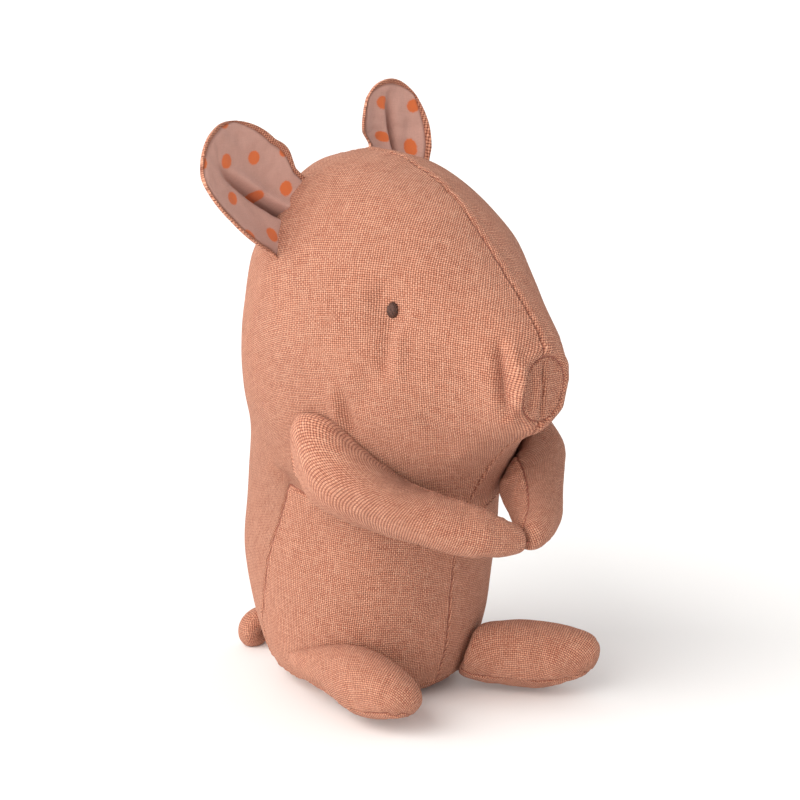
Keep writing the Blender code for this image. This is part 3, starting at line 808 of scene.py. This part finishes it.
def makeBody():
    fillings = ["head_filling", "torso_filling"]
    obj = stuffedForm("body_skin", fillings, body["growth"], body["voxel"], body["smoothing"])
    pins = layPanels(obj, bodyPanel, ontoBodySeams)
    inflate(obj, pins, body["pressure"], body["limit"], body["slack"])
    unwrap(obj, bodyGrain, body["unwrapRounds"])
    subdivide(obj, 1)
    refine(obj, body["fineReach"])
    chains = workCloth(obj, bodyLook, bodyFolds, bodyRelief)
    obj.data.materials.append(linenCloth)
    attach(obj, "body")
    replaced = fillings + ["seat_panel", "snout_disk"]
    replaced += [f"{name}_{kind}_panel" for name in sideOf for kind in ("side", "belly")]
    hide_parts(*replaced)
    keep = lambda place: place.z > body["stitchesFrom"]
    thread = stitches("body_seam_stitches", chains, bodyStitch, seamThread, keep)
    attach(thread, "body")
    print("body", len(obj.data.polygons), "faces")
    return obj


# Arms and legs

limbs = {
    "grains": {"right": (22.0, -30.0), "left": (-30.0, -22.0)},
    "unwrapRounds": 35,
    "voxel": 0.0014,
    "smoothing": 16,
    "growth": 0.0010,
    "pressure": 4.0,
    "limit": 0.0008,
    "slack": 0.02,
    "seamShift": 0.0020,
    "rootReach": 0.026,
    "rootKeep": 0.12,
    "rootGrowth": 0.0022,
    "fineReach": 0.0022,
}
armPushes = {
    "right": [
        {"at": (-0.0320, -0.0540, 0.1020), "by": (0.0, 0.0, -0.0065), "reach": 0.0150},
        {"at": (-0.0200, -0.0640, 0.0960), "by": (0.0, 0.0, -0.0030), "reach": 0.0130},
        {"at": (-0.0470, -0.0280, 0.1090), "by": (-0.0010, 0.0, 0.0045), "reach": 0.0130},
    ],
    "left": [
        {"at": (0.0470, -0.0280, 0.1090), "by": (0.0010, 0.0, 0.0040), "reach": 0.0130},
        {"at": (0.0350, -0.0590, 0.0980), "by": (0.0034, -0.0026, 0.0), "reach": 0.0170},
    ],
}
legPushes = {
    "right": [
        {"at": (-0.0470, -0.0300, 0.0000), "by": (0.0, 0.0, 0.0032), "reach": 0.0170},
        {"at": (-0.0520, -0.0100, 0.0000), "by": (0.0, 0.0, 0.0040), "reach": 0.0160},
        {"at": (-0.0330, -0.0680, 0.0120), "by": (0.0028, -0.0024, 0.0), "reach": 0.0160},
    ],
    "left": [
        {"at": (0.0400, -0.0800, 0.0140), "by": (0.0, 0.0, 0.0016), "reach": 0.0160},
        {"at": (0.0440, -0.0760, 0.0220), "by": (0.0016, -0.0014, 0.0016), "reach": 0.0090},
    ],
}
limbLook = {
    "grooveWidth": 0.0004,
    "grooveDepth": 0.0005,
    "lip": 0.0001,
    "puckerSize": 0.0028,
    "puckerAt": 0.0012,
    "puckerReach": 0.0028,
    "puckerHeight": 0.0005,
    "lumpSize": 0.014,
    "lumpHeight": 0.0006,
}
limbStitch = {"pitch": 0.0024, "length": 0.0015, "radius": 0.0002, "lift": 0.00005, "skew": 0.25}


# Finds whether a place belongs to the second of two CAD panels. shift moves the line between them.
def panelTree(nodes, shift):
    trees = []
    for node in nodes:
        bm = nodeCopy(node)
        trees.append(BVHTree.FromBMesh(bm))
        bm.free()
    return lambda place: trees[1].find_nearest(place)[3] + shift < trees[0].find_nearest(place)[3]


# Presses the end of an arm down onto the body, as a sleeve that is sewn into its side seam.
def settleRoot(obj, skin, reach, keep, growth):
    bm = openMesh(skin)
    tree = BVHTree.FromBMesh(bm)
    bm.free()
    start = max((vert.co for vert in obj.data.vertices), key=lambda place: place.y).copy()
    for vert in obj.data.vertices:
        vert.co += vert.normal * growth * bell((vert.co - start).length, reach)
    for vert in obj.data.vertices:
        near = max(0.0, 1 - (vert.co - start).length / reach)
        point, normal, _, _ = tree.find_nearest(vert.co)
        lift = (vert.co - point).dot(normal)
        if near > 0 and lift > 0:
            vert.co -= normal * lift * (1 - keep) * (near * near * (3 - 2 * near))


# Straightens the stepped line between two panels.
def relaxSeams(vert):
    mates = [edge.other_vert(vert) for edge in vert.link_edges if edge.seam]
    if len(mates) == 2:
        vert.co = vert.co.lerp((mates[0].co + mates[1].co) / 2, 0.6)


# Shifts the places around each push.
def press(obj, pushes):
    for push in pushes:
        centre, by = Vector(push["at"]), Vector(push["by"])
        for vert in obj.data.vertices:
            vert.co += by * bell((vert.co - centre).length, push["reach"])


# Makes one arm or leg. An arm is given the body's skin, onto which its end is pressed.
def makeLimb(name, nodes, settings, mover, pushes, grain, skin=None):
    filling, panels = nodes
    obj = stuffedForm(name, [filling], settings["growth"], settings["voxel"], settings["smoothing"])
    press(obj, pushes)
    pins = layPanels(obj, panelTree(panels, settings["seamShift"] if skin is None else 0.0), relaxSeams)
    inflate(obj, pins, settings["pressure"], settings["limit"], settings["slack"])
    if skin:
        settleRoot(obj, skin, settings["rootReach"], settings["rootKeep"], settings["rootGrowth"])
    unwrap(obj, grain, settings["unwrapRounds"])
    subdivide(obj, 1)
    refine(obj, settings["fineReach"])
    chains = workCloth(obj, limbLook, [])
    obj.data.materials.append(linenCloth)
    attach(obj, mover)
    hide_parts(filling, *panels)
    thread = stitches(name + "_stitches", chains, limbStitch, seamThread)
    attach(thread, mover)
    return obj


def makeLimbs(skin):
    arms = []
    for name in sideOf:
        armTurn, legTurn = limbs["grains"][name]
        nodes = (f"{name}_arm_filling", [f"{name}_arm_outer_panel", f"{name}_arm_inner_panel"])
        grain = lambda middle, turn=armTurn: (upward, turn)
        arms.append(makeLimb(f"{name}_arm", nodes, limbs, "arms", armPushes[name], grain, skin))
        nodes = (f"{name}_leg_filling", [f"{name}_leg_top_panel", f"{name}_leg_sole_panel"])
        grain = lambda middle, turn=legTurn: (backward, turn)
        makeLimb(f"{name}_leg", nodes, limbs, f"{name}_leg", legPushes[name], grain)
    return arms


handStitch = {
    "count": 6,
    "halfLength": 0.0016,
    "radius": 0.00028,
    "spread": 0.0010,
    "beyond": 0.004,
    "slant": 0.0003,
    "frontOf": -0.07,
}


# The few stitches that hold the hands together, drawn tight across the line between them.
def makeHandStitch(hands):
    both = bmesh.new()
    for hand in hands:
        both.from_mesh(hand.data)
    tree = BVHTree.FromBMesh(both)
    both.free()
    low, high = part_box("hand_stitch")
    bm = bmesh.new()
    for number in range(handStitch["count"]):
        share = (number + 0.5) / handStitch["count"]
        level = low.z - handStitch["beyond"] + share * (high.z - low.z + 2 * handStitch["beyond"])
        ends = []
        for side in (-1.0, 1.0):
            start = Vector((side * handStitch["spread"], -0.2, level + handStitch["slant"] * side))
            place, _, _, _ = tree.ray_cast(start, backward)
            if place and place.y < handStitch["frontOf"]:
                ends.append(place)
        if len(ends) < 2:
            continue
        along = (ends[1] - ends[0]).normalized()
        turn = along.to_track_quat("X", "Z").to_matrix().to_4x4()
        turn.translation = (ends[0] + ends[1]) / 2
        size = Matrix.Diagonal((handStitch["halfLength"], handStitch["radius"], handStitch["radius"], 1.0))
        bmesh.ops.create_icosphere(bm, subdivisions=3, radius=1.0, matrix=turn @ size)
    obj = newObject("hand_threads", meshOf(bm, "hand_threads"))
    obj.data.shade_smooth()
    obj.data.materials.append(seamThread)
    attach(obj, "arms")
    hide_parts("hand_stitch")


# Ears

ears = {
    "right": {
        "point": (-0.70, 0.15, 0.70),
        "length": 0.0415,
        "halfWidth": 0.0190,
        "lean": 0.0,
        "lobe": 0.09,
        "dotsTurn": 45.0,
        "cup": 0.0060,
        "roundFrom": 0.42,
        "pleats": [
            {"from": (0.05, -0.02), "to": (-0.25, 0.72), "width": 0.085, "depth": 0.0062, "over": 1.0},
        ],
    },
    "left": {
        "point": (0.05, 0.15, 0.99),
        "length": 0.0299,
        "halfWidth": 0.0148,
        "lean": -0.12,
        "lobe": 0.0,
        "dotsTurn": 8.0,
        "cup": 0.0050,
        "roundFrom": 0.22,
        "pleats": [
            {"from": (0.0, 0.0), "to": (-0.05, 0.85), "width": 0.12, "depth": 0.0042, "over": -1.0},
        ],
    },
}
earShape = {
    "columns": 56,
    "rows": 60,
    "root": 0.16,
    "rootWidth": 0.92,
    "tipWidth": 1.02,
    "turnBy": 0.4,
    "cupFrom": 0.3,
    "ripple": 0.0012,
    "rim": 0.0014,
    "rimRise": 0.0012,
    "backRound": 0.0005,
    "linen": 0.0014,
    "seamAt": 0.0019,
    "lining": 0.0007,
    "wrinkle": 0.0004,
    "inset": 0.0016,
}
# A pleat is a hollow beside a roll. The roll's place and size are in widths of the pleat.
pleatShape = {"rollAt": 1.9, "rollWidth": 1.3, "rollHeight": 0.55, "overlap": 0.9, "fade": 0.6, "shade": 0.6}


# A place on an ear. across runs from -1 to 1 and along from its root to its tip, as on a square of cloth.
def earPlace(name, across, along, lift):
    ear, side = ears[name], sideOf[name]
    joint = next(entry for entry in frame["joints"] if entry["name"] == f"{name}_ear_fold")
    base, seam = Vector(joint["pos_m"]), Vector(joint["axis"]).normalized()
    point = Vector(ear["point"]).normalized()
    facing = (seam.cross(point) * side).normalized()
    square = (point.cross(facing) * side).normalized()
    start = ear["roundFrom"]
    if along > start:
        high = (along - start) / (1 - start)
        wide = across * math.sqrt(1 - high * high / 2)
        reach = start + (1 - start) * high * math.sqrt(1 - across * across / 2)
        wide *= earShape["tipWidth"]
    else:
        reach = along
        up = max(along, 0.0) / start
        widening = (earShape["tipWidth"] - earShape["rootWidth"]) * up
        wide = across * (earShape["rootWidth"] + widening + ear["lobe"] * math.sin(math.pi * up))
    broadside = seam.lerp(square, min(max(reach / earShape["turnBy"], 0.0), 1.0)).normalized()
    level = earShape["cupFrom"] + (1 - earShape["cupFrom"]) * min(reach, 1.0)
    hollow = ear["cup"] * (wide * wide - 1) * math.sin(math.pi * level)
    leaning = wide + ear["lean"] * max(reach, 0.0) ** 2
    shade = 0.0
    for pleat in ear["pleats"]:
        first, line = Vector(pleat["from"]), Vector(pleat["to"]) - Vector(pleat["from"])
        away = Vector((wide, reach)) - first
        fade = min(max(1 - away.dot(line) / line.length_squared, 0.0), 1.0) ** pleatShape["fade"]
        off = pleat["over"] * (line.y * away.x - line.x * away.y) / line.length
        width = pleat["width"]
        roll = fade * bell(off - pleatShape["rollAt"] * width, pleatShape["rollWidth"] * width)
        hollow += pleat["depth"] * (pleatShape["rollHeight"] * roll - fade * bell(off, width))
        leaning -= pleat["over"] * pleatShape["overlap"] * width * roll
        shade = max(shade, pleatShape["shade"] * fade * bell(off - 0.2 * width, 0.7 * width))
    hollow += earShape["ripple"] * noise.noise(Vector((wide * 2.1, reach * 2.3, 4.0 * side)))
    place = base + broadside * side * leaning * ear["halfWidth"] + point * reach * ear["length"]
    flat = Vector((wide * ear["halfWidth"], reach * ear["length"]))
    pattern = Matrix.Rotation(math.radians(ear["dotsTurn"]), 2) @ flat
    return place + facing * (hollow + lift), pattern, shade


# About how far a place lies from the ear's rim.
def fromRim(name, across, along):
    ear = ears[name]
    return min((1 - abs(across)) * ear["halfWidth"], (1 - along) * ear["length"] * 0.9)


# How far a place on an ear's cloth stands off the ear's middle sheet, and how much painted shade its seam gets
# there.
def earRelief(name, kind, across, along, inset, behind):
    rim = fromRim(name, across, along) - (inset if kind == "lining" else 0.0)
    if kind == "linen":
        if behind:
            lift = -earShape["linen"] + earShape["backRound"] * bell(rim, 0.0009)
        else:
            lift = -0.0002 + earShape["rimRise"] * bell(rim, earShape["rim"])
        return lift, 0.5 * bell(rim - earShape["seamAt"], 0.0006)
    wrinkle = noise.noise(Vector((across * 5.0, along * 9.0, 7.0 * sideOf[name])))
    pillow = (earShape["lining"] + earShape["wrinkle"] * wrinkle) * (1 - bell(max(rim, 0.0), 0.0008) * 0.9)
    return -0.0001 if behind else pillow, bell(max(rim, 0.0), 0.0006)


# A closed piece of cloth in the shape of the ear. Its front face is that of the sheet, its back lies behind.
def earSheet(name, kind, inset):
    ear = ears[name]
    bm = bmesh.new()
    bmesh.ops.create_grid(bm, x_segments=earShape["columns"], y_segments=earShape["rows"], size=1.0)
    layer = bm.loops.layers.uv.new("weave")
    depth = bm.verts.layers.float.new("crease")
    flat = {}
    squares = {}
    shareAcross = 1 - inset / ear["halfWidth"]
    shareAlong = 1 - inset / ear["length"]
    for vert in bm.verts:
        across = vert.co.x * shareAcross
        along = ((vert.co.y + 1) / 2 * (shareAlong + earShape["root"])) - earShape["root"]
        squares[vert] = (across, along, False)
    order = list(squares)
    made = bmesh.ops.extrude_face_region(bm, geom=bm.faces[:], use_keep_orig=True)
    tree = KDTree(len(order))
    for number, vert in enumerate(order):
        tree.insert(vert.co, number)
    tree.balance()
    for vert in made["geom"]:
        if isinstance(vert, bmesh.types.BMVert):
            across, along, _ = squares[order[tree.find(vert.co)[1]]]
            squares[vert] = (across, along, True)
    for vert, (across, along, behind) in squares.items():
        lift, seam = earRelief(name, kind, across, along, inset, behind)
        vert.co, flat[vert], shade = earPlace(name, across, along, lift)
        # The crease attribute holds the painted shade of the rim seam and of the pleats.
        vert[depth] = max(seam, shade)
    for face in bm.faces:
        for loop in face.loops:
            loop[layer].uv = flat[loop.vert]
    bmesh.ops.recalc_face_normals(bm, faces=bm.faces[:])
    obj = newObject(f"{name}_ear_{kind}_cloth", meshOf(bm, f"{name}_ear_{kind}_cloth"))
    obj.data.shade_smooth()
    subdivide(obj, 1)
    return obj


def makeEars():
    for name in sideOf:
        back = earSheet(name, "linen", 0.0)
        back.data.materials.append(linenCloth)
        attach(back, f"{name}_ear")
        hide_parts(f"{name}_ear_back")
        lining = earSheet(name, "lining", earShape["inset"])
        lining.data.materials.append(dottedCotton)
        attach(lining, f"{name}_ear")
        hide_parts(f"{name}_ear_lining")


# Eyes

eyes = {
    "halfLength": 0.0026,
    "halfWidth": 0.0019,
    "halfDepth": 0.0013,
    "proud": 0.0003,
    "strands": 9,
    "strandRadius": 0.00032,
    "strandPoints": 15,
    "strandTurn": 1.1,
    "sway": 0.00012,
}


def makeEyes(skin):
    bm = openMesh(skin)
    tree = BVHTree.FromBMesh(bm)
    bm.free()
    for name, centre in zip(sideOf, eyeCentres):
        point, normal, _, _ = tree.find_nearest(centre)
        across = normal.cross(upward).normalized()
        upright = across.cross(normal)
        place = Matrix((across, upright, normal)).transposed().to_4x4()
        place.translation = point + normal * eyes["proud"]
        eye = bmesh.new()
        size = Matrix.Diagonal((eyes["halfWidth"], eyes["halfLength"], eyes["halfDepth"], 1.0))
        bmesh.ops.create_uvsphere(eye, u_segments=24, v_segments=16, radius=1.0, matrix=place @ size)
        for number in range(eyes["strands"]):
            aside = (number + 0.5) / eyes["strands"] * 2 - 1
            squeeze = math.sqrt(1 - aside * aside)
            rings = []
            for step in range(eyes["strandPoints"]):
                angle = math.pi * (step / (eyes["strandPoints"] - 1)) * eyes["strandTurn"] - 0.05 * math.pi
                high, deep = math.cos(angle) * eyes["halfLength"], math.sin(angle) * eyes["halfDepth"]
                sway = eyes["sway"] * math.sin(step * 1.3 + number)
                spot = Vector((aside * eyes["halfWidth"] + sway, high * squeeze, deep * squeeze))
                fall, rise = math.sin(angle) * eyes["halfLength"], math.cos(angle) * eyes["halfDepth"]
                along = Vector((0.0, -fall, rise))
                turn = along.to_track_quat("Z", "X").to_matrix().to_4x4()
                turn.translation = spot
                radius = eyes["strandRadius"]
                made = bmesh.ops.create_circle(eye, segments=8, radius=radius, matrix=place @ turn)
                rings.append(list({edge for vert in made["verts"] for edge in vert.link_edges}))
            for first, second in zip(rings, rings[1:]):
                bmesh.ops.bridge_loops(eye, edges=first + second)
            for ring in (rings[0], rings[-1]):
                bmesh.ops.contextual_create(eye, geom=ring)
        bmesh.ops.recalc_face_normals(eye, faces=eye.faces[:])
        obj = newObject(f"{name}_eye_knot", meshOf(eye, f"{name}_eye_knot"))
        obj.data.shade_smooth()
        obj.data.materials.append(eyeThread)
        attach(obj, "body")
        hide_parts(f"{name}_eye")


# Tail

tail = {"voxel": 0.0006, "smoothing": 9, "growth": 0.0012, "shift": (0.0006, 0.0, -0.0022)}


def makeTail():
    obj = stuffedForm("tail_roll", ["tail"], tail["growth"], tail["voxel"], tail["smoothing"])
    obj.data.transform(Matrix.Translation(tail["shift"]))
    for vert in obj.data.vertices:
        vert.co.z = max(vert.co.z, floorGap)
    bpy.ops.object.select_all(action="DESELECT")
    bpy.context.view_layer.objects.active = obj
    obj.select_set(True)
    bpy.ops.object.mode_set(mode="EDIT")
    bpy.ops.mesh.select_all(action="SELECT")
    bpy.ops.uv.cube_project(cube_size=1.0)
    bpy.ops.object.mode_set(mode="OBJECT")
    obj.data.uv_layers[0].name = "weave"
    obj.data.shade_smooth()
    obj.data.materials.append(linenCloth)
    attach(obj, "tail")
    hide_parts("tail")


# Room, lights and camera

room = {
    "ambient": 0.71,
    "key": 4.3,
    "keyFrom": (-0.94, 0.03, 0.38),
    "fill": 0.15,
    "fillFrom": (0.6, -0.4, 0.7),
    "softness": 80.0,
    "sun": (1.0, 0.97, 0.93),
    "floor": (0.95, 0.95, 0.95, 1.0),
    "sky": (1.0, 0.99, 0.98, 1.0),
    "size": 30.0,
}
camera = {
    "turn": -40.0,
    "rise": 15.0,
    "distance": 1.0,
    "target": (0.0, 0.0, 0.1),
    "lens": 119.7,
    "shift": (0.0375, 0.02375),
}


def makeRoom():
    bm = bmesh.new()
    bmesh.ops.create_grid(bm, x_segments=1, y_segments=1, size=room["size"])
    floor = newObject("floor", meshOf(bm, "floor"))
    material, _, shader = newMaterial("floor")
    shader.inputs["Base Color"].default_value = room["floor"]
    shader.inputs["Roughness"].default_value = 0.9
    floor.data.materials.append(material)
    world = bpy.data.worlds.new("room")
    bpy.context.scene.world = world
    world.use_nodes = True
    sky = world.node_tree.nodes["Background"]
    sky.inputs["Color"].default_value = room["sky"]
    sky.inputs["Strength"].default_value = room["ambient"]
    for name in ("key", "fill"):
        source = room[name + "From"]
        light = bpy.data.lights.new(name, "SUN")
        light.energy = room[name]
        light.angle = math.radians(room["softness"])
        light.color = room["sun"]
        lamp = newObject(name, light)
        lamp.location = Vector(source)
        lamp.rotation_euler = (-Vector(source)).to_track_quat("-Z", "Y").to_euler()


def makeCamera():
    turn, rise = math.radians(camera["turn"]), math.radians(camera["rise"])
    back = Vector((math.sin(turn) * math.cos(rise), -math.cos(turn) * math.cos(rise), math.sin(rise)))
    data = bpy.data.cameras.new("camera")
    data.lens = camera["lens"]
    data.sensor_width = 36.0
    data.shift_x, data.shift_y = camera["shift"]
    data.clip_start = 0.01
    obj = newObject("camera", data)
    obj.location = Vector(camera["target"]) + back * camera["distance"]
    obj.rotation_euler = (-back).to_track_quat("-Z", "Y").to_euler()
    bpy.context.scene.camera = obj


skin = makeBody()
hands = makeLimbs(skin)
makeHandStitch(hands)
print("arms and legs made")
makeEars()
print("ears made")
makeEyes(skin)
print("eyes made")
makeTail()
print("tail made")
makeRoom()
makeCamera()
bpy.context.scene.view_settings.view_transform = "Standard"
